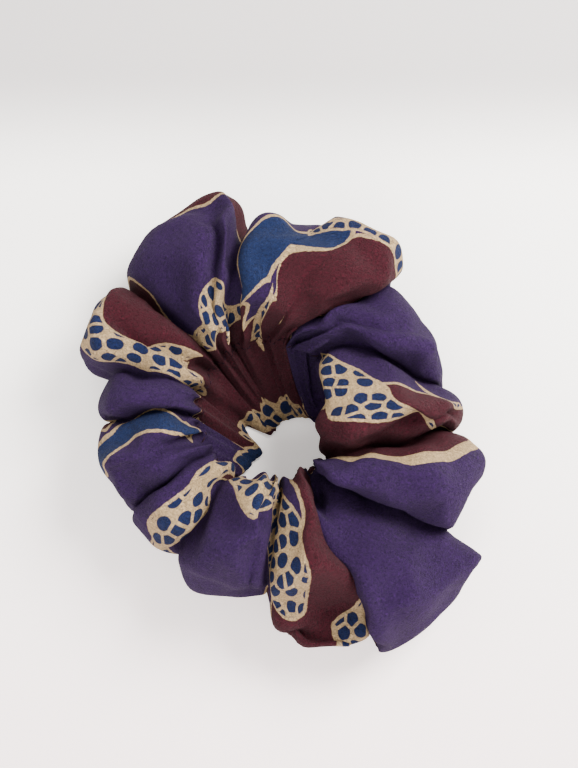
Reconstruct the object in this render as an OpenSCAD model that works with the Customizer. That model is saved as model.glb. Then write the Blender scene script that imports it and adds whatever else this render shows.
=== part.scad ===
// Gathered fabric scrunchie, lying flat. Millimetres, +Z up, origin under the middle of its
// outline on the surface that it lies on. The ring stretches open along X, so each piece that
// runs all the way round is drawn as a left and a right half.

/* [Opening] */
// Radius of the relaxed hair opening
opening_r = 19; // [15:1:22]
// Height of the gathered band that touches the hair
band_h = 12; // [8:1:16]
// Distance of the opening's middle from the middle of the outline, across
opening_x = -3; // [-8:0.1:8]
// Distance of the opening's middle from the middle of the outline, front to back
opening_y = 2.2; // [-8:0.1:8]

/* [Elastic] */
// Radius to the middle of the elastic band
elastic_r = 24.5; // [24:0.5:26]
// Width of the flat elastic, standing upright
elastic_w = 6; // [4:0.5:8]
// Thickness of one layer of elastic
elastic_t = 1.2; // [0.8:0.1:1.4]
// Length over which the two ends of the elastic lie on each other
overlap_len = 12; // [8:1:14]

/* [Cover] */
// Height of the fullest gather above the surface
cover_h = 38; // [34:1:42]
// Reach of the cover in the folds between two gathers
fold_reach = 48; // [44:1:50]
// Free space round the elastic inside the cover
casing_clearance = 0.3; // [0.2:0.1:0.5]
// Gap between the two halves where the ring parts as it stretches
part_gap = 0.3; // [0.2:0.1:0.6]

/* [Stitching] */
// Radius of the sewing thread
thread_r = 0.25; // [0.2:0.05:0.4]
// Length of one stitch of the long seam
stitch_len = 3; // [2:0.5:3.5]
// Length from one stitch of the long seam to the next
stitch_pitch = 4; // [4:0.5:6]
// Number of slip stitches round the closing seam
slip_stitches = 22; // [12:1:28]
// Direction from the centre to the closing seam, in degrees
seam_angle = -60; // [-75:1:-25]

/* [Hidden] */

// Each gather of the cover: direction in degrees, reach from the centre, half of the angle
// that it fills, and its height as a share of cover_h.
GATHERS = [
    [-45, 66, 21, 0.86], [-15, 61, 20, 0.98], [5, 51, 13, 0.92], [26, 53, 20, 0.92],
    [57, 60, 21, 0.98], [88, 58, 21, 1.00], [121, 66, 23, 0.98], [152, 58, 19, 0.90],
    [176, 51, 14, 0.84], [203, 50, 21, 0.88], [229, 50, 13, 0.84], [253, 54, 20, 0.94],
    [284, 66, 17, 0.88]
];
RIGHT = 0;
LEFT = 180;
fold_height = 0.78;
mid_z = cover_h * 0.46;
sides = 22;
rings = 45;
ring_step = 180 / rings;
pressed_flat = 2;
inner_r = opening_r + 0.4;
band_depth = 4;
far = 200;
seam_r = opening_r + 2.2;
overlap_angle = overlap_len / elastic_r * 180 / PI;
stitch_angle = stitch_len / seam_r * 180 / PI;
pitch_angle = stitch_pitch / seam_r * 180 / PI;
stitches_per_half = floor(180 / pitch_angle);
slip_len = 2.4;
zigzags = 8;
zigzag_gap = 0.15;

// Difference between two directions, from -180 to 180.
function turn(a, b) = ((a - b + 540) % 360) - 180;

// How far a gather swells at a direction: 1 along its middle, 0 from its edge on.
function swell(gather, angle) =
    let (share = abs(turn(angle, gather[0])) / gather[2])
    share < 1 ? sqrt(1 - share * share) : 0;

function reach(angle) =
    max([for (g = GATHERS) fold_reach + (g[1] - fold_reach) * swell(g, angle)]);

function height(angle) =
    cover_h * max([for (g = GATHERS) fold_height + (g[3] - fold_height) * swell(g, angle)]);

// A point of the cover's outline in the upright plane at one direction, as [radius, height].
// The part below the middle is pressed flat where it lies on a surface.
function outline(angle, around) =
    let (
        half_reach = (reach(angle) - inner_r) / 2,
        rise = sin(around) > 0 ? height(angle) - mid_z : mid_z + pressed_flat
    )
    [inner_r + half_reach * (1 + cos(around)), max(mid_z + rise * sin(around), 0)];

function on_cover(angle, around) =
    let (p = outline(angle, around))
    [p[0] * cos(angle), p[0] * sin(angle), p[1]];

// The gathered cover between two upright planes, as one closed skin of rings.
module gathered_body(facing) {
    first = facing - 90;
    points = [
        for (i = [0:rings])
        for (k = [0:sides - 1])
        on_cover(first + i * ring_step, k * 360 / sides)
    ];
    skin = [
        for (i = [0:rings - 1])
        for (k = [0:sides - 1])
        let (a = i * sides + k, b = i * sides + (k + 1) % sides)
        each [[a, b, b + sides], [a, b + sides, a + sides]]
    ];
    first_end = [for (k = [sides - 1:-1:0]) k];
    last_end = [for (k = [0:sides - 1]) rings * sides + k];
    polyhedron(points, concat([first_end], skin, [last_end]), convexity = 10);
}

// A half turn about Z of the profile drawn in the X-Y plane.
module half_turn(facing) {
    rotate([0, 0, facing - 90])
    rotate_extrude(angle = 180, $fn = 120)
    children();
}

// Thin upright slab where the two halves part.
module parting_slab() {
    cube([part_gap, far, far], center = true);
}

// The elastic's profile, or the room for it inside the cover.
module elastic_profile(layers, margin) {
    translate([elastic_r - elastic_t / 2 - margin, mid_z - elastic_w / 2 - margin])
    square([elastic_t * layers + 2 * margin, elastic_w + 2 * margin]);
}

// The true round band at the opening, where the gathers press on the hair.
module gathered_band(facing) {
    half_turn(facing)
    translate([opening_r, mid_z - band_h / 2])
    square([band_depth, band_h]);
}

module cover_half(facing) {
    difference() {
        union() {
            gathered_body(facing);
            gathered_band(facing);
        }
        rotate_extrude($fn = 120)
        elastic_profile(2, casing_clearance);
        parting_slab();
    }
}

module elastic_half(facing) {
    difference() {
        half_turn(facing) elastic_profile(1, 0);
        parting_slab();
    }
}

// Running stitches that close the fabric into a tube, along the inside of the ring.
module long_seam_half(facing) {
    margin = (180 - stitches_per_half * pitch_angle + pitch_angle - stitch_angle) / 2;
    for (i = [0:stitches_per_half - 1])
    rotate([0, 0, facing - 90 + margin + i * pitch_angle])
    rotate_extrude(angle = stitch_angle, $fn = 120)
    translate([seam_r, mid_z])
    circle(r = thread_r, $fn = 24);
}

// A straight length of thread between two points.
module thread(from, to) {
    along = to - from;
    length = norm(along);
    translate(from)
    rotate([0, acos(along[2] / length), atan2(along[1], along[0])])
    cylinder(r = thread_r, h = length, $fn = 24);
}

module cover_left() {
    color("indigo") cover_half(LEFT);
}

module cover_right() {
    color("rebeccapurple") cover_half(RIGHT);
}

module elastic_left() {
    color("white") elastic_half(LEFT);
}

// The right half holds both ends of the elastic, one lying on the other.
module elastic_right() {
    color("white")
    union() {
        elastic_half(RIGHT);
        rotate([0, 0, seam_angle - overlap_angle / 2])
        rotate_extrude(angle = overlap_angle, $fn = 120)
        translate([elastic_t, 0])
        elastic_profile(1, 0);
    }
}

module long_seam_left() {
    color("midnightblue") long_seam_half(LEFT);
}

module long_seam_right() {
    color("midnightblue") long_seam_half(RIGHT);
}

// Zigzag of thread that sews the two ends of the elastic together.
module elastic_join_stitches() {
    outer_r = elastic_r + elastic_t * 1.5;
    step = overlap_angle * 0.8 / zigzags;
    function corner(i) =
        let (angle = seam_angle + (i - zigzags / 2) * step, side = i % 2 == 0 ? -1 : 1)
        [outer_r * cos(angle), outer_r * sin(angle), mid_z + side * elastic_w * 0.35];
    color("white")
    for (i = [0:zigzags - 1])
    let (from = corner(i), along = corner(i + 1) - from)
    thread(from + along * zigzag_gap, from + along * (1 - zigzag_gap));
}

// Slip stitches across the seam where the two ends of the fabric tube meet.
module closing_stitches() {
    across = [-sin(seam_angle), cos(seam_angle), 0] * slip_len / 2;
    color("midnightblue")
    for (i = [0:slip_stitches - 1])
    let (middle = on_cover(seam_angle, -150 + 300 * i / (slip_stitches - 1)) + [0, 0, thread_r])
    thread(middle - across, middle + across);
}

// Moves the ring from its own middle to the middle of its outline.
module placed() {
    translate([opening_x, opening_y, 0])
    children();
}

placed() cover_left();
placed() cover_right();
placed() elastic_left();
placed() elastic_right();
placed() long_seam_left();
placed() long_seam_right();
placed() elastic_join_stitches();
placed() closing_stitches();
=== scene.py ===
import math
from collections import namedtuple

import bpy
import numpy as np
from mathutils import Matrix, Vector, noise


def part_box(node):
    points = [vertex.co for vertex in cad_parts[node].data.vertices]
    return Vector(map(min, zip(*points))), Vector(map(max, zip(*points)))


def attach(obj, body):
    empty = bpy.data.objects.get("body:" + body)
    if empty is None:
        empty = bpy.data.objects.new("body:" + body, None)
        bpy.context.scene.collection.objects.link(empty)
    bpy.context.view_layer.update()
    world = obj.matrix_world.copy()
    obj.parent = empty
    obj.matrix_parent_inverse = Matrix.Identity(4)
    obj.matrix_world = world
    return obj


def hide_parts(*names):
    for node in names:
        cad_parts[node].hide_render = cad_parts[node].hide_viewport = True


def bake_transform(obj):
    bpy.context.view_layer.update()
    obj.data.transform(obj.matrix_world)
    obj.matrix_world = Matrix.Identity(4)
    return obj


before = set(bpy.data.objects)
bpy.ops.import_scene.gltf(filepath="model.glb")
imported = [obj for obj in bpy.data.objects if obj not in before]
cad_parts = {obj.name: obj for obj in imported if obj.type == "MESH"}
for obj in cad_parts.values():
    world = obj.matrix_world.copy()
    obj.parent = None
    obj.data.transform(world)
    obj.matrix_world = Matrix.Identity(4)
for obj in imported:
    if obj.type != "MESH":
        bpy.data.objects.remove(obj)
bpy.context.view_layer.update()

# ---------------------------------------------------------------- sizes, in millimetres
MM = 0.001
STRIP_LENGTH = 420      # finished length of the fabric tube, which the print is laid out on
STRIP_ROUND = 100       # finished distance round the tube
CLOTH_THICK = 0.38
ALONG = 236             # cloth squares along the tube
AROUND = 52             # cloth squares round the tube
ELASTIC_THICK = 1.2
THREAD_R = 0.2

left_low, left_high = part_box("elastic_left")
right_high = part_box("elastic_right")[1]
RING_X = (left_low[0] + right_high[0]) / 2 / MM
RING_Y = (left_low[1] + left_high[1]) / 2 / MM
ELASTIC_Z = (left_low[2] + left_high[2]) / 2 / MM
ELASTIC_W = (left_high[2] - left_low[2]) / MM
ELASTIC_OUT = (right_high[0] - left_low[0]) / 2 / MM

# The gathers, anticlockwise from the closing seam. Each one starts at a fold, which runs from
# an angle at the opening to an angle at the outline. The fold is up to 1 deep, and so is its
# notch in the outline. The gather swells to its reach from the middle of the ring and to its
# top. Its crest lies at a share of its width. Its upper part leans sideways, towards the next
# gather if more than 0, and over the opening. Angles in degrees, sizes in mm.
Gather = namedtuple("Gather", "name opening outline depth notch reach top crest lean over")
GATHERS = [
    Gather("front_right", -60, -65, 1.0, 0.12, 68, 31, 0.20, -3, 0),
    Gather("right", -53, -34, 1.0, 0.22, 56, 37, 0.42, -6, 0),
    Gather("right_wine", -45, -6, 1.0, 0.6, 49, 37, 0.45, -7, 14),
    Gather("right_back", 66, 6, 1.0, 0.4, 47, 35, 0.45, -4, 3),
    Gather("back_right", 79, 47, 1.0, 0.9, 54, 37, 0.40, -7, 0),
    Gather("back", 95, 76, 0.08, 0.1, 51, 37, 0.40, 0, 0),
    Gather("back_left", 124, 98, 0.5, 0.85, 60, 38, 0.24, 3, 0),
    Gather("left_back", 138, 137, 1.0, 0.6, 55, 33, 0.45, 3, 0),
    Gather("left", 165, 166, 0.8, 0.6, 45, 30, 0.55, 3, 1),
    Gather("left_front", 186, 184, 0.9, 0.6, 45, 33, 0.55, 3, 1),
    Gather("front_left", 220, 217, 0.9, 0.6, 46, 31, 0.45, 2, 1),
    Gather("front", 248, 236, 1.0, 0.8, 49, 36, 0.60, 3, 2),
    Gather("front_wine", 277, 269, 0.9, 0.6, 63, 35, 0.60, 1, 2),
]
FOLD_REACH = 40         # a fold's reach from the middle of the ring, its top and its bottom
FOLD_TOP = 18
FOLD_BOTTOM = 5
INNER_FOLD = 20.5       # the tube's inner radius at a fold, and how far a gather swells inwards
INNER_SWELL = 1.5
FOLD_CLOTH = 500        # cloth that each gather takes for its fold, in degrees times mm
SWEEP = 0.95            # share of its angle that a gather sweeps; its folds take the rest
TURN_FROM = 18          # a fold turns from its angle at the opening, from this radius on
TURN_OVER = 34          # and over this distance, to its angle at the outline
OUTLINE_POWER = 0.5     # roundness of a gather in the outline: lower is squarer
TOP_POWER = 0.8         # the same for its top
SIDE_POWER = 0.85       # the same for the tube's section, sideways
RISE_POWER = 0.75       # the same for the tube's section, upwards
OVER_ELASTIC = 7        # the folds pass this much higher where they cross the elastic
CROSSING_WIDTH = 7
PLEAT = 1.2             # size of the small pleats at the opening
WIDE_GATHER = 0.08      # from this share of the tube on, a gather has three pleats, not two
STEP_GATHER = "front_wine"
STEP_RADIUS = 50        # beyond this radius that gather drops to a lower layer
STEP_HEIGHT = 16        # the lower layer's height
STEP_SLOPE = 4          # distance over which it drops
CALM = 0.8              # share of the unevenness that is left out at the opening
LOWEST = 0.5            # no point is placed lower than this above the floor
# Unevenness of the whole ring: lumps per mm, size in mm and where the noise is read. This noise
# is not seeded here, and Blender seeds it from the clock, so the lumps differ from run to run.
LUMPS = [(0.05, 2.5, Vector((3, 7, 1))), (0.11, 2.4, Vector((5, 2, 9)))]

# Creases that run over a gather: places as for the print, with the crease's depth in mm.
CREASES = [
    [("back_left", 0.45, 0.85, 0), ("back_left", 0.45, 0.5, 4), ("back_left", 0.5, 0.15, 2)],
    [("back", 0.85, 0.9, 4), ("back", 0.9, 0.7, 3), ("back", 0.95, 0.5, 0)],
    [("right_wine", 0.10, 0.55, 0), ("right_wine", 0.28, 0.42, 4), ("right_wine", 0.40, 0.35, 3),
     ("right_wine", 0.50, 0.15, 3)],
    [("right_back", 0.5, 0.9, 3), ("right_back", 0.55, 0.5, 2), ("right_back", 0.6, 0.1, 1)],
    [("front_right", 0.75, 0.9, 4), ("front_right", 0.6, 0.7, 3), ("front_right", 0.55, 0.5, 0)],
    [("front_right", 0.5, 0.5, 0), ("front_right", 0.5, 0.2, 2), ("front_right", 0.5, 0, 0)],
    [("front", 0.62, 0.8, 1), ("front", 0.68, 0.4, 2), ("front", 0.7, 0.05, 2)],
    [("front_wine", 0.3, 0.15, 4), ("front_wine", 0.2, -0.1, 3)],
    [("left_back", 0.4, 0.9, 2), ("left_back", 0.45, 0.55, 3), ("left_back", 0.5, 0.3, 0)],
    [("left_front", 0.5, 0.9, 3), ("left_front", 0.55, 0.6, 3), ("left_front", 0.6, 0.3, 1)],
]
CREASE_WIDTH = 3.2
CREASE_PRESS = 1.4      # they start this much deeper than written; the simulation softens them

# The cloth under the back left gathers hangs down into the opening, as a loose fold.
HANG_MIDDLE = 130       # its direction, and half of the angle that it fills, in degrees
HANG_HALF = 100
HANG_REACH = 27         # how far it hangs in
HANG_LOWEST = 0.25      # share of its height that is left there
HANG_SQUARES = 14       # squares round the tube that it takes, counted from the inner seam
SINK_SQUARES = 16       # squares round the tube that sink
SINK_EDGE = 3           # squares over which the sinking starts and ends
HANG_EVEN = 0.8         # how far its squares are evened out round the tube
HANG_CALM = 5           # its creases are averaged over this many squares to each side
HANG_POWER = 0.7        # roundness of its edge: lower is squarer
VALLEY_ANGLE = 158      # a valley across the fold: its direction and half width, in degrees
VALLEY_HALF = 8
VALLEY_DEPTH = 3
VALLEY_SHRINK = 0.3     # share by which the fold is smaller there


def tube_shares():
    """The share of the tube's length that each gather takes."""
    opening = np.array([g.opening for g in GATHERS] + [GATHERS[0].opening + 360])
    outline = np.array([g.outline for g in GATHERS] + [GATHERS[0].outline + 360])
    reach = np.array([g.reach for g in GATHERS])
    sizes = np.diff(outline) * reach + np.diff(opening) * INNER_FOLD + FOLD_CLOTH
    return sizes / sizes.sum()


SHARES = tube_shares()
FOLDS = np.concatenate([[0], np.cumsum(SHARES)])
FAR_OFF = 1e3


# Places on the flat tube are s, the distance along it, and t, the distance round it, in mm.
def length_to(name, part):
    """Distance along the tube to a place in a gather: 0 is its first fold and 1 its last."""
    row = [g.name for g in GATHERS].index(name)
    return (FOLDS[row] + SHARES[row] * part) * STRIP_LENGTH


def from_stroke(stroke, s, t):
    """Distance in mm from each place to a stroke's line, and the stroke's value there."""
    nearest, value = np.full(s.shape, FAR_OFF), np.zeros(s.shape)
    marks = []
    for name, part, turn, size in stroke:
        marks.append((length_to(name, part), turn * STRIP_ROUND / 2, size))
    for (s0, t0, v0), (s1, t1, v1) in zip(marks, marks[1:]):
        ds = (s1 - s0 + STRIP_LENGTH / 2) % STRIP_LENGTH - STRIP_LENGTH / 2
        dt = t1 - t0
        ps = (s - s0 + STRIP_LENGTH / 2) % STRIP_LENGTH - STRIP_LENGTH / 2
        for wrap in (-STRIP_ROUND, 0, STRIP_ROUND):
            pt = t - t0 + wrap
            share = np.clip((ps * ds + pt * dt) / (ds * ds + dt * dt), 0, 1)
            gap = np.hypot(ps - share * ds, pt - share * dt)
            here = v0 + (v1 - v0) * share
            closer = gap < nearest
            nearest, value = np.where(closer, gap, nearest), np.where(closer, here, value)
    return nearest, value


# ---------------------------------------------------------------- the cover's shape
def between(low, high, share):
    return low + (high - low) * share


def eased(share):
    """A share from 0 to 1 that starts and ends gently."""
    share = min(max(share, 0), 1)
    return share * share * (3 - 2 * share)


def bulged_tube():
    """Start of the cloth: a ring of swollen gathers, as an array of ALONG x AROUND points."""
    points = np.zeros((ALONG, AROUND, 3))
    for i in range(ALONG):
        place = i / ALONG
        row = min(int(np.searchsorted(FOLDS, place, side="right")) - 1, len(GATHERS) - 1)
        across = 2 * (place - FOLDS[row]) / SHARES[row] - 1
        points[i] = tube_section(row, across)
    points = creased(points)
    points[..., 2] = np.maximum(points[..., 2], LOWEST)
    return points


def tube_section(row, across):
    """The points round the tube in a gather: across is -1 at its first fold, 1 at its last."""
    this, after = GATHERS[row], GATHERS[(row + 1) % len(GATHERS)]
    lap = 360 if row == len(GATHERS) - 1 else 0
    swing = (1 + SWEEP * math.sin(math.pi * across / 2)) / 2
    swing = swing ** (math.log(this.crest) / math.log(0.5))
    at_opening = between(this.opening, after.opening + lap, swing)
    at_outline = between(this.outline, after.outline + lap, swing)
    fold = this if across < 0 else after
    hump = max(math.cos(math.pi * across / 2), 0)
    square = 1 - (1 - hump ** OUTLINE_POWER) * fold.notch
    swell = 1 - (1 - hump ** TOP_POWER) * fold.depth
    outer = between(FOLD_REACH, this.reach, square)
    inner = INNER_FOLD - INNER_SWELL * swell
    high = between(FOLD_TOP, this.top, swell)
    low = FOLD_BOTTOM * (1 - swell)
    pleats = 3 if SHARES[row] > WIDE_GATHER else 2
    pleat = math.sin(math.pi * (across + 1) * pleats)
    section = []
    for k in range(AROUND):
        turn = math.pi + 2 * math.pi * k / AROUND
        side, rise = math.cos(turn), math.sin(turn)
        side = math.copysign(abs(side) ** SIDE_POWER, side)
        rise = math.copysign(abs(rise) ** RISE_POWER, rise)
        radius = inner + (outer - inner) / 2 * (1 + side)
        height = (high + low) / 2 + (high - low) / 2 * rise
        if this.name == STEP_GATHER and rise > 0:
            beyond = eased((radius - STEP_RADIUS + STEP_SLOPE / 2) / STEP_SLOPE)
            height -= beyond * max(height - STEP_HEIGHT, 0) * swell
        elif rise > 0:
            crossing = math.exp(-((radius - ELASTIC_OUT) / CROSSING_WIDTH) ** 2)
            height += OVER_ELASTIC * (1 - swell) * rise * crossing
        near = max(-side, 0) ** 3
        radius -= PLEAT * near * pleat * abs(side)
        height += PLEAT * near * pleat * rise
        out = min(max((radius - TURN_FROM) / TURN_OVER, 0), 1)
        turned = math.radians(between(at_opening, at_outline, out * (2 - out)))
        inwards = (1 - side) / 2
        upper = max(rise, 0)
        radius -= this.over * swell * upper * inwards ** 2
        sideways = this.lean * swell * upper
        point = Vector((radius * math.cos(turned) - sideways * math.sin(turned),
                        radius * math.sin(turned) + sideways * math.cos(turned), height))
        for fineness, size, start in LUMPS:
            point += noise.noise_vector(point * fineness + start) * size * (1 - CALM * near)
        section.append(tuple(point))
    return section


def creased(points):
    """Presses the creases into the points."""
    i, k = np.meshgrid(np.arange(ALONG), np.arange(AROUND), indexing="ij")
    s, t = i * STRIP_LENGTH / ALONG, (k / AROUND - 0.5) * STRIP_ROUND
    depth = np.zeros(s.shape)
    for stroke in CREASES:
        gap, deep = from_stroke(stroke, s, t)
        depth = np.maximum(depth, deep * np.exp(-(gap / CREASE_WIDTH) ** 2))
    return points - surface_normals(points) * CREASE_PRESS * depth[..., None]


def grid_faces(rows, columns):
    """Faces of a closed grid, each turned outwards, as a list."""
    i, k = np.meshgrid(np.arange(rows), np.arange(columns), indexing="ij")
    j, m = (i + 1) % rows, (k + 1) % columns
    corners = [i * columns + k, j * columns + k, j * columns + m, i * columns + m]
    return np.stack(corners, axis=-1).reshape(-1, 4).tolist()


def surface_normals(surface):
    """Outward normals of a closed grid."""
    du = np.roll(surface, -1, 0) - np.roll(surface, 1, 0)
    dv = np.roll(surface, -1, 1) - np.roll(surface, 1, 1)
    normals = np.cross(du, dv)
    return normals / np.linalg.norm(normals, axis=2, keepdims=True)


def mesh_object(name, points, faces):
    mesh = bpy.data.meshes.new(name)
    mesh.from_pydata(np.asarray(points).reshape(-1, 3).tolist(), [], faces)
    item = bpy.data.objects.new(name, mesh)
    bpy.context.scene.collection.objects.link(item)
    return item


def square_object(name, size):
    """A flat square at height 0 that reaches size to each side of the middle."""
    corners = [(-size, -size, 0), (size, -size, 0), (size, size, 0), (-size, size, 0)]
    return mesh_object(name, corners, [(0, 1, 2, 3)])


def settle(points):
    """Runs the cloth: held at its inner line, the tube grows a little and lies down on a floor.

    Its contact with itself is left off, so cloth can pass through cloth.
    """
    scale = 10 * MM         # the solver works ten times as large, where its contact distances hold
    frames = 24
    loose = 0.35            # how firmly all but the inner line is drawn to its start
    contact_gap = 0.004
    cloth = mesh_object("cloth_run", points * scale, grid_faces(ALONG, AROUND))
    group = cloth.vertex_groups.new(name="held")
    group.add(range(ALONG * AROUND), loose, "REPLACE")
    group.add([i * AROUND for i in range(ALONG)], 1.0, "REPLACE")
    floor = square_object("cloth_floor", 3)
    floor.modifiers.new("floor", "COLLISION")
    floor.collision.thickness_outer = contact_gap
    floor.collision.cloth_friction = 5
    modifier = cloth.modifiers.new("cloth", "CLOTH")
    fabric = modifier.settings
    fabric.quality = 6
    fabric.mass = 0.15
    fabric.tension_stiffness = 25
    fabric.compression_stiffness = 25
    fabric.shear_stiffness = 8
    fabric.bending_stiffness = 6
    fabric.tension_damping = 10
    fabric.compression_damping = 10
    fabric.shear_damping = 6
    fabric.bending_damping = 1
    fabric.air_damping = 3
    fabric.vertex_group_mass = "held"
    fabric.shrink_min = -0.03
    contact = modifier.collision_settings
    contact.distance_min = contact_gap
    contact.collision_quality = 2
    modifier.point_cache.frame_start = 1
    modifier.point_cache.frame_end = frames + 1
    scene = bpy.context.scene
    for number in range(1, frames + 1):
        scene.frame_set(number)
    graph = bpy.context.evaluated_depsgraph_get()
    settled = bpy.data.meshes.new_from_object(cloth.evaluated_get(graph))
    flat = np.empty(ALONG * AROUND * 3)
    settled.vertices.foreach_get("co", flat)
    for item in (cloth, floor):
        bpy.data.objects.remove(item)
    bpy.data.meshes.remove(settled)
    scene.frame_set(1)
    return flat.reshape(ALONG, AROUND, 3) / scale


def hung(points):
    """Shapes the loose fold in the opening, out of the lower half of the tube."""
    slot = AROUND // 2
    k = np.arange(slot + 1)
    weight = np.sin(math.pi * np.clip(k / HANG_SQUARES, 0, 1))
    sunk = np.clip(k / SINK_EDGE, 0, 1) * np.clip((SINK_SQUARES - k) / SINK_EDGE, 0, 1)
    away = Vector((math.cos(math.radians(HANG_MIDDLE)), math.sin(math.radians(HANG_MIDDLE))))
    loose = evened(points, 0, HANG_CALM)
    hanging = points.copy()
    for i in range(ALONG):
        seam = Vector(points[i, 0, :2]).normalized()
        angle = math.degrees(math.atan2(seam.y, seam.x)) % 360
        off = (angle - HANG_MIDDLE) / HANG_HALF
        if abs(off) >= 1:
            continue
        valley = math.exp(-((angle - VALLEY_ANGLE) / VALLEY_HALF) ** 2)
        size = (1 - off * off) ** HANG_POWER * (1 - VALLEY_SHRINK * valley)
        inwards = -(seam + away).normalized()
        share = (weight * size)[:, None]
        line = points[i, :slot + 1] * (1 - share) + loose[i, :slot + 1] * share
        line[:, :2] += share * HANG_REACH * np.array(inwards)
        line[:, 2] *= 1 - (1 - HANG_LOWEST) * size * sunk
        line[:, 2] -= VALLEY_DEPTH * valley * weight
        gaps = np.linalg.norm(np.diff(line, axis=0), axis=1)
        places = np.concatenate([[0], np.cumsum(gaps)])
        even = np.linspace(0, places[-1], slot + 1)
        wanted = places + (even - places) * size * HANG_EVEN
        for axis in range(3):
            hanging[i, :slot + 1, axis] = np.interp(wanted, places, line[:, axis])
    hanging[..., 2] = np.maximum(hanging[..., 2], LOWEST)
    return hanging


def evened(points, axis, reach):
    """Running mean of a closed grid along an axis."""
    total = sum(np.roll(points, shift, axis) for shift in range(-reach, reach + 1))
    return total / (2 * reach + 1)


def smoothed(points):
    """Twice as many points each way, on the smooth surface that follows a closed grid."""
    for axis in (0, 1):
        before, after = np.roll(points, 1, axis), np.roll(points, -1, axis)
        kept = (before + 6 * points + after) / 8
        middles = (points + after) / 2
        shape = list(points.shape)
        shape[axis] *= 2
        finer = np.empty(shape)
        if axis == 0:
            finer[0::2], finer[1::2] = kept, middles
        else:
            finer[:, 0::2], finer[:, 1::2] = kept, middles
        points = finer
    return points


# ---------------------------------------------------------------- the print
# A patch of the print is a stroke of places: a gather, how far through it, how far round the
# tube (0 its outer edge, 0.5 its top, 1 and -1 its inner seam, -0.5 its underside) and half the
# stroke's width there in mm.
WINE = [
    [("right_wine", 0.1, 1.00, 8), ("right_wine", 0.35, 0.65, 13), ("right_wine", 0.45, 0.30, 11),
     ("right_wine", 0.35, -0.20, 10)],
    [("right", 1.0, 0.95, 3), ("right", 1.0, 0.50, 7), ("right", 1.0, 0.15, 7),
     ("right", 1.0, -0.30, 5)],
    [("back_right", 0.4, 0.95, 12), ("back_right", 0.5, 0.68, 17), ("back_right", 0.42, 0.48, 15),
     ("back_right", 0.3, 0.38, 9)],
    [("back", 0.05, 0.95, 5), ("back", 0.1, 0.80, 5)],
    [("back", 0.75, 0.95, 4), ("back", 0.75, 0.80, 4)],
    [("back_left", 0.05, -0.05, 8), ("back_left", 0.4, -0.10, 11), ("back_left", 0.8, -0.10, 8)],
    [("back_left", 0.2, 0.95, 5), ("back_left", 0.9, 0.92, 6), ("left_back", 0.2, 0.90, 9)],
    [("left_back", 0.15, 0.90, 9), ("left_back", 0.25, 0.60, 10), ("left_back", 0.3, 0.15, 11),
     ("left_back", 0.25, -0.30, 9)],
    [("left_front", 0.05, 0.18, 3), ("left_front", 0.05, -0.30, 8)],
    [("front_left", 0.9, 0.95, 5), ("front_left", 0.85, 0.68, 3)],
    [("front", 0.7, 1.00, 4), ("front", 1.0, 0.95, 5)],
    [("front_wine", 0.62, 0.95, 9), ("front_wine", 0.72, 0.65, 12), ("front_wine", 0.66, 0.42, 11),
     ("front_wine", 0.38, 0.20, 12), ("front_wine", 0.25, -0.10, 12), ("front_wine", 0.2, -0.50, 12)],
    [("back_right", 0.2, -0.85, 12), ("back_right", 0.5, -0.80, 17), ("back", 0.5, -0.75, 20),
     ("back_left", 0.5, -0.75, 20), ("left_back", 0.5, -0.80, 18), ("left", 0.5, -0.80, 12)],
    [("front_right", 0.3, -0.60, 8), ("front_right", 0.8, -0.85, 10)],
]
BLUE = [
    [("back", 0.80, 0.62, 5), ("back", 0.55, 0.53, 8), ("back", 0.22, 0.38, 8.5),
     ("back", 0.0, 0.29, 6)],
    [("left_front", 0.50, 0.85, 2.5), ("left_front", 0.22, 0.72, 4.5), ("left_front", 0.18, 0.45, 4.5),
     ("left_front", 0.40, 0.12, 3.5)],
    [("right", 0.2, -0.45, 7), ("right", 0.9, -0.65, 10), ("right_wine", 0.6, -0.75, 6)],
    [("left", 0.5, -0.60, 6), ("left_front", 0.5, -0.70, 8)],
]
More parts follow.
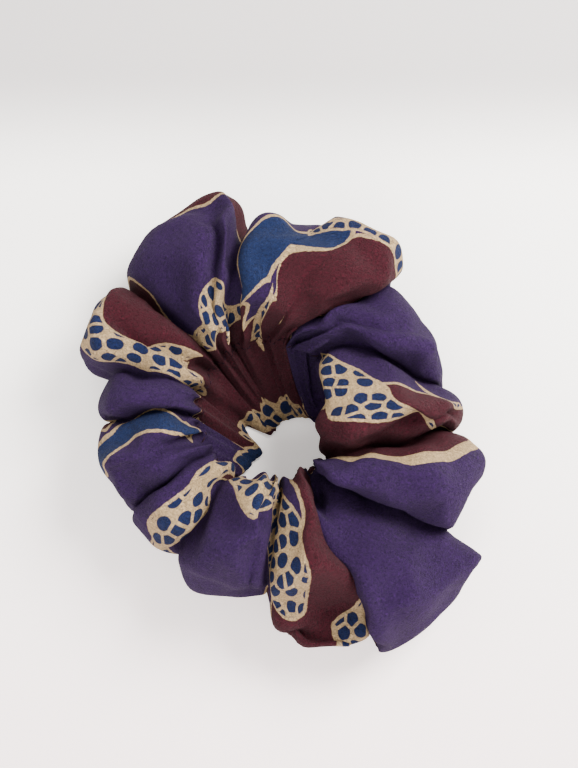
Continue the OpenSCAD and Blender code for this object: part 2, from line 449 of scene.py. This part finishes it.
SPOTTED = [
    [("right_wine", 0.92, 0.86, 2), ("right_wine", 0.74, 0.72, 6), ("right_wine", 0.55, 0.58, 6),
     ("right_wine", 0.35, 0.42, 2), ("right_wine", 0.22, 0.32, 0.2)],
    [("right_wine", 0.8, 0.38, 0.3), ("right_wine", 0.7, 0.20, 1.6), ("right_wine", 0.7, 0.08, 2)],
    [("back", 0.15, 0.15, 2), ("back", 0.0, 0.19, 2.5), ("back_right", 0.6, 0.23, 3.2),
     ("back_right", 0.3, 0.26, 3.4), ("back_right", 0.1, 0.25, 2)],
    [("back", 0.3, 0.68, 0.5), ("back", 0.32, 0.80, 4), ("back", 0.35, 0.98, 3)],
    [("back_left", 0.95, 0.66, 2), ("back_left", 0.7, 0.76, 4), ("back_left", 0.3, 0.74, 6),
     ("back", 0.95, 0.72, 5)],
    [("left_back", 0.80, 0.95, 4), ("left_back", 0.70, 0.60, 7), ("left_back", 0.62, 0.20, 5),
     ("left_back", 0.55, -0.10, 4)],
    [("left_back", 0.35, 0.78, 3), ("left_back", 0.45, 0.66, 4)],
    [("left_front", 0.15, 0.05, 3), ("left_front", 0.3, -0.30, 5)],
    [("front_left", 0.62, 0.95, 4), ("front_left", 0.66, 0.60, 7), ("front_left", 0.70, 0.25, 5),
     ("front_left", 0.75, -0.05, 3)],
    [("front", 0.25, 0.74, 6), ("front", 0.50, 0.72, 8), ("front", 0.75, 0.74, 7)],
    [("front", 1.0, 0.70, 4), ("front_wine", 0.15, 0.52, 7), ("front_wine", 0.25, 0.38, 7)],
    [("front_wine", 0.88, 0.34, 3), ("front_wine", 0.80, 0.18, 7), ("front_wine", 0.74, 0.0, 8),
     ("front_wine", 0.7, -0.30, 8)],
    [("back_right", 0.3, -0.76, 2.4), ("back", 0.5, -0.75, 3.6), ("back_left", 0.5, -0.77, 3.2),
     ("left_back", 0.5, -0.78, 2.4), ("left", 0.4, -0.78, 2.0)],
    [("right_back", 0.3, -0.40, 5), ("back_right", 0.3, -0.60, 6)],
]
CREAM_STRIPES = [
    [("right", 0.80, 0.90, 0.8), ("right", 0.74, 0.60, 1.1), ("right", 0.75, 0.35, 1.1),
     ("right", 0.80, 0.05, 1.8)],
]


def stroke_distance(strokes, s, t):
    """Distance in mm from each place to the nearest stroke's edge, negative inside it."""
    nearest = np.full(s.shape, FAR_OFF)
    for stroke in strokes:
        gap, half_width = from_stroke(stroke, s, t)
        nearest = np.minimum(nearest, gap - half_width)
    return nearest


def wavy(s, t):
    """The print's places, pushed about so that no edge is straight."""
    turn = 2 * math.pi
    ds = 2.2 * np.sin(turn * (3 * t / STRIP_ROUND + 5 * s / STRIP_LENGTH))
    dt = 2.0 * np.sin(turn * (11 * s / STRIP_LENGTH + 1 * t / STRIP_ROUND + 0.2))
    calm_over = 25      # calm on the underside next to the seam: the hanging fold is drawn out there
    calm = np.clip((t + STRIP_ROUND / 2) / calm_over, 0, 1)
    return s + ds * calm, t + dt * calm


def steps_of(surface, axis):
    """Distance in mm from each point of the closed grid to the next one along an axis."""
    return np.linalg.norm(np.roll(surface, -1, axis) - surface, axis=2)


def true_distance(field, along_steps, round_steps):
    """A field of distances in the flat tube, made true for the cloth's own stretch."""
    ds = along_steps + np.roll(along_steps, 1, 0)
    dt = round_steps + np.roll(round_steps, 1, 1)
    slope_s = (np.roll(field, -1, 0) - np.roll(field, 1, 0)) / ds
    slope_t = (np.roll(field, -1, 1) - np.roll(field, 1, 1)) / dt
    slope = np.hypot(slope_s, slope_t)
    for axis in (0, 1):
        slope = (np.roll(slope, 1, axis) + slope + np.roll(slope, -1, axis)) / 3
    least, most = 0.4, 2.5
    return field / np.clip(slope, least, most)


def flattened(points):
    """Places in mm of the cloth's corners when each gather is laid flat, for the finer grid."""
    rows, columns = points.shape[:2]
    item = mesh_object("flattened", points, grid_faces(rows, columns))
    cuts = {round(place * rows) % rows for place in FOLDS}
    for edge in item.data.edges:
        first, second = edge.vertices
        along_fold = first // columns == second // columns and first // columns in cuts
        edge.use_seam = along_fold or (first % columns == 0 and second % columns == 0)
    item.data.uv_layers.new(name="flat")
    bpy.context.view_layer.objects.active = item
    bpy.ops.object.mode_set(mode="EDIT")
    bpy.ops.mesh.select_all(action="SELECT")
    bpy.ops.uv.unwrap(method="MINIMUM_STRETCH", margin=0.01)
    bpy.ops.object.mode_set(mode="OBJECT")
    flat = np.empty(rows * columns * 4 * 2)
    item.data.uv_layers["flat"].data.foreach_get("uv", flat)
    flat = flat.reshape(rows, columns, 4, 2)
    area = sum(face.area for face in item.data.polygons)
    bpy.data.objects.remove(item)
    one, two = flat[:, :, 2] - flat[:, :, 0], flat[:, :, 3] - flat[:, :, 1]
    flat_area = np.abs(one[..., 0] * two[..., 1] - one[..., 1] * two[..., 0]).sum() / 2
    return quartered(flat * math.sqrt(area / flat_area))


def quartered(flat):
    """The corners' places of four squares for each square of a grid."""
    rows, columns = flat.shape[:2]
    finer = np.empty((rows * 2, columns * 2, 4, 2))
    corners = [(0, 0), (1, 0), (1, 1), (0, 1)]
    for a in (0, 1):
        for b in (0, 1):
            for corner, (u, v) in enumerate(corners):
                x, y = (a + u) / 2, (b + v) / 2
                shares = [(1 - x) * (1 - y), x * (1 - y), x * y, (1 - x) * y]
                place = sum(share * flat[:, :, m] for m, share in enumerate(shares))
                finer[a::2, b::2, corner] = place
    return finer


def add_print(item, surface, places):
    """Stores the print's places and the distances to its edges on the mesh, for its material."""
    rows, columns = surface.shape[:2]
    i, k = np.meshgrid(np.arange(rows), np.arange(columns), indexing="ij")
    s, t = wavy(i * STRIP_LENGTH / rows, (k / columns - 0.5) * STRIP_ROUND)
    along_steps, round_steps = steps_of(surface, 0), steps_of(surface, 1)
    lists = (("wine", WINE), ("blue", BLUE), ("spotted", SPOTTED), ("stripe", CREAM_STRIPES))
    for name, strokes in lists:
        values = true_distance(stroke_distance(strokes, s, t), along_steps, round_steps)
        layer = item.data.attributes.new(name, "FLOAT", "POINT")
        layer.data.foreach_set("value", values.astype(np.float32).ravel())
    add_places(item, places / 100)


def add_places(item, places):
    """Stores where each corner of each face lies in its material, in tenths of a metre."""
    layer = item.data.uv_layers.new(name="cloth")
    layer.data.foreach_set("uv", places.astype(np.float32).ravel())


# ---------------------------------------------------------------- materials
class Nodes:
    """Short calls for building a material's nodes."""

    def __init__(self, name):
        self.material = bpy.data.materials.new(name)
        self.material.use_nodes = True
        self.tree = self.material.node_tree
        self.shader = self.tree.nodes["Principled BSDF"]

    def new(self, kind, inputs=None, **settings):
        node = self.tree.nodes.new(kind)
        for key, value in settings.items():
            setattr(node, key, value)
        for key, value in (inputs or {}).items():
            self.put(node.inputs[key], value)
        return node

    def put(self, socket, value):
        if isinstance(value, bpy.types.NodeSocket):
            self.tree.links.new(value, socket)
        else:
            socket.default_value = value

    def math(self, operation, a, b=0.0):
        return self.new("ShaderNodeMath", {0: a, 1: b}, operation=operation).outputs[0]

    def around_zero(self, value, size):
        """A value from 0 to 1, made to go from -size / 2 to size / 2."""
        return self.math("MULTIPLY", self.math("SUBTRACT", value, 0.5), size)

    def step(self, value, low, high):
        """0 below low, 1 above high, smooth between; low may be the greater."""
        ends = {"Value": value, "From Min": low, "From Max": high}
        node = self.new("ShaderNodeMapRange", ends, interpolation_type="SMOOTHSTEP")
        return node.outputs["Result"]

    def mix(self, share, a, b):
        node = self.new("ShaderNodeMix", {0: share, 6: a, 7: b}, data_type="RGBA")
        return node.outputs[2]

    def attribute(self, name):
        return self.new("ShaderNodeAttribute", attribute_name=name).outputs["Fac"]

    def noise(self, place, scale, detail, **more):
        inputs = {"Vector": place, "Scale": scale, "Detail": detail, **more}
        return self.new("ShaderNodeTexNoise", inputs).outputs["Fac"]

    def bump(self, height, strength, distance):
        inputs = {"Height": height, "Strength": strength, "Distance": distance}
        bump = self.new("ShaderNodeBump", inputs)
        self.put(self.shader.inputs["Normal"], bump.outputs["Normal"])

    def surface(self, base, **uniform):
        """The shader's base colour, and its inputs that are the same everywhere."""
        self.put(self.shader.inputs["Base Color"], base)
        for name, value in uniform.items():
            self.shader.inputs[name.replace("_", " ")].default_value = value


def colour(red, green, blue):
    """A colour from its sRGB values, 0 to 255."""
    def linear(value):
        value /= 255
        return value / 12.92 if value <= 0.04045 else ((value + 0.055) / 1.055) ** 2.4
    return (linear(red), linear(green), linear(blue), 1)


PURPLE = colour(40, 21, 58)
WINE_RED = colour(55, 17, 26)
ROYAL_BLUE = colour(22, 34, 68)
CREAM = colour(165, 140, 104)
NAVY = colour(18, 28, 62)
DARK_THREAD = colour(34, 16, 26)
WHITE_THREAD = colour(228, 226, 220)
EDGE_BLUR = 0.15                # half of the width over which a patch's edge blurs, in mm
LINE_HALF, LINE_CORE = 0.65, 0.40   # half width of the outlines, with and without their blur


def printed_crepe():
    """Plum cloth with wine and blue patches outlined in cream, and cream bands with spots."""
    nodes = Nodes("printed_crepe")
    place = nodes.new("ShaderNodeUVMap", uv_map="cloth").outputs["UV"]
    rough_edge = nodes.around_zero(nodes.noise(place, 60.0, 2.0), 0.7)
    names = ("wine", "blue", "spotted", "stripe")
    edges = [nodes.math("ADD", nodes.attribute(name), rough_edge) for name in names]
    wine, blue, spotted, stripe = edges
    base = nodes.mix(inside(nodes, wine), PURPLE, WINE_RED)
    base = nodes.mix(inside(nodes, blue), base, ROYAL_BLUE)
    from_wine = nodes.math("ABSOLUTE", wine)
    bare_wine = nodes.math("MAXIMUM", from_wine, nodes.math("MULTIPLY", blue, -1.0))
    line = nodes.math("MINIMUM", nodes.math("ABSOLUTE", blue), bare_wine)
    base = nodes.mix(nodes.step(line, LINE_HALF, LINE_CORE), base, CREAM)
    base = nodes.mix(inside(nodes, nodes.math("MINIMUM", spotted, stripe)), base, CREAM)
    base = nodes.mix(spots(nodes, place, spotted), base, NAVY)
    # The fine grain bumps the cloth, and with the same noise it lightens and darkens the colour: that
    # colour is painted highlight and shade of the crepe's relief. The coarse noise is a random tone of
    # the cloth.
    grain = nodes.noise(place, 170.0, 3.0, Roughness=0.65, Distortion=1.2)
    worn = nodes.noise(place, 6.0, 3.0)
    painted_light_and_wear = nodes.math("ADD", nodes.around_zero(grain, 2.7), nodes.around_zero(worn, 0.25))
    toning = {"Color": base, "Value": nodes.math("ADD", painted_light_and_wear, 1.0)}
    toned = nodes.new("ShaderNodeHueSaturation", toning).outputs["Color"]
    nodes.surface(toned, Roughness=0.8, Specular_IOR_Level=0.05, Sheen_Weight=0.02,
                  Sheen_Roughness=0.5)
    nodes.bump(grain, 1.0, 0.0018)
    return nodes.material


def inside(nodes, distance):
    """1 inside an edge and 0 outside it, from the distance to it in mm."""
    return nodes.step(distance, EDGE_BLUR, -EDGE_BLUR)


def spots(nodes, place, spotted):
    """Dark rounded blobs, about 4 by 5 mm apart, inside the spotted patches."""
    scale = (27.0, 21.0, 1.0)
    cells = nodes.new("ShaderNodeMapping", {"Vector": place, "Scale": scale}).outputs["Vector"]
    distances = []
    for feature in ("DISTANCE_TO_EDGE", "F1"):
        settings = {"Vector": cells, "Scale": 1.0, "Randomness": 0.65}
        node = nodes.new("ShaderNodeTexVoronoi", settings, voronoi_dimensions="2D",
                         feature=feature)
        distances.append(node.outputs["Distance"])
    edge, middle = distances
    blob = nodes.math("MULTIPLY", nodes.step(edge, 0.07, 0.12), nodes.step(middle, 0.46, 0.40))
    return nodes.math("MULTIPLY", blob, nodes.step(spotted, -0.7, -1.0))


def braided_elastic():
    nodes = Nodes("braided_elastic")
    place = nodes.new("ShaderNodeUVMap", uv_map="cloth").outputs["UV"]
    waves = {"Vector": place, "Scale": 60.0, "Distortion": 0.6}
    ribs = nodes.new("ShaderNodeTexWave", waves, bands_direction="Y").outputs["Fac"]
    # The elastic is greyer in the grooves between its ribs, from the same waves that bump it: painted
    # shade.
    pale = nodes.mix(ribs, colour(196, 193, 186), colour(233, 231, 226))
    nodes.surface(pale, Roughness=0.8)
    nodes.bump(ribs, 0.6, 0.0002)
    return nodes.material


def thread_material(name, tone):
    nodes = Nodes(name)
    place = nodes.new("ShaderNodeTexCoord").outputs["Object"]
    waves = {"Vector": place, "Scale": 900.0, "Distortion": 1.0}
    twist = nodes.new("ShaderNodeTexWave", waves).outputs["Fac"]
    # The thread is darker in the grooves of its twist, from the same waves that bump it: painted
    # shade.
    dark = tuple(0.6 * part for part in tone[:3]) + (1,)
    nodes.surface(nodes.mix(twist, dark, tone), Roughness=0.8, Specular_IOR_Level=0.1)
    nodes.bump(twist, 0.5, 0.0001)
    return nodes.material


def stretches(item):
    """Bakes the piece's placing into its points. The piece runs all the way round, between the two
    halves.
    """
    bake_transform(item)


def placed(points):
    """Points from millimetres about the ring's middle to metres in the frame."""
    return (np.asarray(points) + np.array([RING_X, RING_Y, 0])) * MM


def shade_smooth(item):
    item.data.polygons.foreach_set("use_smooth", [True] * len(item.data.polygons))


def make_cover(surface, places):
    """The fabric cover: one printed sheet, thickened inwards."""
    rows, columns = surface.shape[:2]
    cover = mesh_object("fabric_cover", placed(surface), grid_faces(rows, columns))
    add_print(cover, surface, places)
    shade_smooth(cover)
    cover.data.materials.append(printed_crepe())
    thickness = cover.modifiers.new("thickness", "SOLIDIFY")
    thickness.thickness = CLOTH_THICK * MM
    thickness.offset = -1
    return cover


def swept(name, centres, normals, ups, section):
    """A closed band: a section, as (out, up) points, carried round a closed line."""
    rows = [centres + normals * out + ups * up for out, up in section]
    faces = grid_faces(len(centres), len(section))
    return mesh_object(name, placed(np.stack(rows, axis=1)), faces)


def make_elastic():
    """The elastic's loop: a flat band with ribs along it on both sides."""
    steps = 360
    ribs = 9
    points_per_rib = 4
    rib_share = 0.14            # depth of the grooves between two ribs, as a share of the thickness
    loop_length = 1.54          # in the material, in tenths of a metre
    section_length = 0.15
    turn = np.linspace(0, 2 * math.pi, steps, endpoint=False)
    out = np.stack([np.cos(turn), np.sin(turn), np.zeros(steps)], axis=1)
    up = np.tile([0.0, 0.0, 1.0], (steps, 1))
    centres = out * (ELASTIC_OUT - ELASTIC_THICK / 2) + up * ELASTIC_Z
    outer = []
    for m in range(ribs * points_per_rib + 1):
        share = m / (ribs * points_per_rib)
        ripple = (1 - rib_share) + rib_share * math.cos(2 * math.pi * ribs * share)
        outer.append((ELASTIC_THICK / 2 * ripple, -ELASTIC_W / 2 + ELASTIC_W * share))
    inner = [(-push, height) for push, height in reversed(outer)]
    section = (outer + inner)[::-1]
    elastic = swept("elastic_loop", centres, out, up, section)
    i, k = np.meshgrid(np.arange(steps), np.arange(len(section)), indexing="ij")
    lengthways = np.stack([i, i + 1, i + 1, i], axis=-1) / steps * loop_length
    crossways = np.stack([k, k, k + 1, k + 1], axis=-1) / len(section) * section_length
    add_places(elastic, np.stack([lengthways, crossways], axis=-1))
    shade_smooth(elastic)
    elastic.data.materials.append(braided_elastic())
    return elastic


def thread_line(points, radius, sides=8):
    """Vertices and faces of a thread along a short line of points, thinner at its two ends."""
    end_share = 0.45
    points = [Vector(point) for point in points]
    last = len(points) - 1
    verts = []
    for number, point in enumerate(points):
        ahead = points[min(number + 1, last)] - points[max(number - 1, 0)]
        ahead.normalize()
        side = ahead.orthogonal().normalized()
        lift = ahead.cross(side)
        size = radius * (end_share if number in (0, last) else 1)
        for m in range(sides):
            turn = 2 * math.pi * m / sides
            verts.append(point + (side * math.cos(turn) + lift * math.sin(turn)) * size)
    return verts, tube_faces(last, sides)


def tube_faces(steps, sides):
    """Faces of a closed tube with flat ends: its sides first, then its two ends."""
    faces = []
    for number in range(steps):
        for m in range(sides):
            a, b = number * sides + m, number * sides + (m + 1) % sides
            faces.append((a, b, b + sides, a + sides))
    faces.append(tuple(range(sides))[::-1])
    faces.append(tuple(steps * sides + m for m in range(sides)))
    return faces


def threads(name, lines, material):
    """One piece with a thread along each line."""
    verts, faces = [], []
    for line in lines:
        more, sides = thread_line(line, THREAD_R)
        faces += [tuple(len(verts) + corner for corner in face) for face in sides]
        verts += [tuple(vert) for vert in more]
    item = mesh_object(name, placed(verts), faces)
    shade_smooth(item)
    item.data.materials.append(material)
    return item


THREAD_LIFT = THREAD_R * 0.6    # a stitch's middle lies this far above the cloth
EVERY = 4                       # points of the cloth from one stitch to the next


def make_long_seam(surface, normals, material):
    """Running stitches along the tube's inner seam."""
    rows = len(surface)
    lines = []
    for i in range(0, rows, EVERY):
        line = []
        for m in range(EVERY):
            place = (i + m) % rows
            side = 1 if 0 < m < EVERY - 1 else -1
            line.append(surface[place, 0] + normals[place, 0] * THREAD_LIFT * side)
        lines.append(line)
    return threads("long_seam", lines, material)


def make_closing_seam(surface, normals, material):
    """Slip stitches across the fold where the tube starts and ends."""
    rows, columns = surface.shape[:2]
    lines = []
    for k in range(2, columns - 2, EVERY):
        line = []
        for i in (-2, -1, 0, 1, 2):
            side = 1 if abs(i) < 2 else -0.4
            line.append(surface[i % rows, k] + normals[i % rows, k] * THREAD_LIFT * side)
        lines.append(line)
    return threads("closing_seam", lines, material)


def join_direction():
    """Direction from the ring's middle to the join of the elastic, in radians."""
    low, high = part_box("elastic_join_stitches")
    middle_x = (low[0] + high[0]) / 2 / MM - RING_X
    middle_y = (low[1] + high[1]) / 2 / MM - RING_Y
    return math.atan2(middle_y, middle_x)


def make_join_zigzag(material):
    """The zigzag of thread on the outside of the elastic's join."""
    count = 8
    swing = 0.35 * ELASTIC_W
    radius = ELASTIC_OUT + 1.0
    middle = join_direction()
    spread = math.radians(22)
    lines = []
    for m in range(count):
        ends = []
        for end in (m, m + 1):
            turn = middle + spread * (end / count - 0.5)
            height = ELASTIC_Z + (swing if end % 2 else -swing)
            ends.append(Vector((radius * math.cos(turn), radius * math.sin(turn), height)))
        lines.append([ends[0], ends[0].lerp(ends[1], 0.5), ends[1]])
    return threads("elastic_join_zigzag", lines, material)


def make_overlap():
    """The second end of the elastic, lying on the first."""
    middle = join_direction()
    steps = 24
    spread = math.radians(28)
    thin, wide = 0.55, ELASTIC_W / 2
    section = [(-thin, -wide), (thin, -wide), (thin, wide), (-thin, wide)]
    verts = []
    for m in range(steps + 1):
        turn = middle + spread * (m / steps - 0.5)
        out = Vector((math.cos(turn), math.sin(turn), 0))
        for push, up in section:
            place = out * (ELASTIC_OUT + ELASTIC_THICK / 2 + push)
            verts.append(tuple(place + Vector((0, 0, ELASTIC_Z + up))))
    item = mesh_object("elastic_overlap", placed(verts), tube_faces(steps, len(section)))
    item.data.materials.append(bpy.data.materials["braided_elastic"])
    return item


# ---------------------------------------------------------------- stage, light and camera
def make_floor():
    """White paper, rosy in front of the ring and darkened to a greyish tone beyond it, which is
    painted shade; it also glows a little in its own colour, which is painted light.
    """
    floor = square_object("floor", 1.5)
    nodes = Nodes("floor")
    position = nodes.new("ShaderNodeTexCoord").outputs["Object"]
    place = nodes.new("ShaderNodeSeparateXYZ", {0: position}).outputs["Y"]
    far_shade_from, far_shade_to = (RING_Y + 70) * MM, (RING_Y + 112) * MM
    rosy_to, white_from = far_shade_from - 0.19, far_shade_from - 0.03
    rosy, white, painted_far_shade = colour(252, 236, 235), colour(254, 252, 248), colour(186, 182, 181)
    paper = nodes.mix(nodes.step(place, rosy_to, white_from), rosy, white)
    # Beyond the ring the paper darkens: painted shade.
    paper = nodes.mix(nodes.step(place, far_shade_from, far_shade_to), paper, painted_far_shade)
    # The paper glows a little in its own colour: painted light that makes it brighter than the lamps
    # alone make it.
    nodes.surface(paper, Roughness=0.9, Emission_Strength=0.35)
    nodes.put(nodes.shader.inputs["Emission Color"], paper)
    floor.data.materials.append(nodes.material)


def aim(item, target):
    item.rotation_euler = (Vector(target) - item.location).to_track_quat("-Z", "Y").to_euler()


def area_light(name, place, size, energy, tint):
    data = bpy.data.lights.new(name, "AREA")
    data.size = size
    data.energy = energy
    data.color = tint
    light = bpy.data.objects.new(name, data)
    bpy.context.scene.collection.objects.link(light)
    light.location = place
    aim(light, (0, 0, 0.02))


def make_room():
    """Pale light from all round, stronger from near the horizon than from above."""
    world = bpy.data.worlds.new("room")
    bpy.context.scene.world = world
    world.use_nodes = True
    tree = world.node_tree
    background = tree.nodes["Background"]
    background.inputs["Color"].default_value = (1.0, 0.97, 0.96, 1)
    direction = tree.nodes.new("ShaderNodeTexCoord")
    split = tree.nodes.new("ShaderNodeSeparateXYZ")
    strength = tree.nodes.new("ShaderNodeMapRange")
    tree.links.new(direction.outputs["Generated"], split.inputs[0])
    tree.links.new(split.outputs["Z"], strength.inputs["Value"])
    strength.inputs["To Min"].default_value = 3.0
    strength.inputs["To Max"].default_value = 0.9
    tree.links.new(strength.outputs["Result"], background.inputs["Strength"])


def make_lights():
    make_room()
    area_light("window", (0.36, 0.22, 0.46), 0.30, 14.0, (1.0, 0.97, 0.94))
    area_light("fill", (-0.05, -0.45, 0.40), 0.4, 5.0, (1.0, 0.96, 0.96))


def make_camera():
    """Looks down at the ring as the photo does."""
    elevation = math.radians(74)
    distance = 0.30
    upright_view = math.radians(37.5)
    sensor = 24
    data = bpy.data.cameras.new("camera")
    camera = bpy.data.objects.new("camera", data)
    bpy.context.scene.collection.objects.link(camera)
    target = Vector(((RING_X + 5) * MM, (RING_Y + 7.3) * MM, 0.016))
    camera.location = target + Vector((0, -math.cos(elevation), math.sin(elevation))) * distance
    aim(camera, target)
    data.sensor_fit = "VERTICAL"
    data.sensor_height = sensor
    data.lens = sensor / (2 * math.tan(upright_view / 2))
    data.dof.use_dof = False
    bpy.context.scene.camera = camera


make_camera()
make_lights()
make_floor()

tube = bulged_tube()
tube = settle(tube)
tube = hung(tube)
surface = smoothed(tube)
cover = make_cover(surface, flattened(tube))
elastic = make_elastic()
overlap = make_overlap()
dark_thread = thread_material("sewing_thread", DARK_THREAD)
white_thread = thread_material("white_thread", WHITE_THREAD)
normals = surface_normals(surface)
long_seam = make_long_seam(surface, normals, dark_thread)
closing_seam = make_closing_seam(surface, normals, dark_thread)
join_zigzag = make_join_zigzag(white_thread)

stretches(cover)
stretches(elastic)
stretches(long_seam)
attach(overlap, "right_half")
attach(closing_seam, "right_half")
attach(join_zigzag, "right_half")
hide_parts("cover_left", "cover_right")
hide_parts("elastic_left", "elastic_right")
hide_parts("long_seam_left", "long_seam_right")
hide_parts("elastic_join_stitches")
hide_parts("closing_stitches")
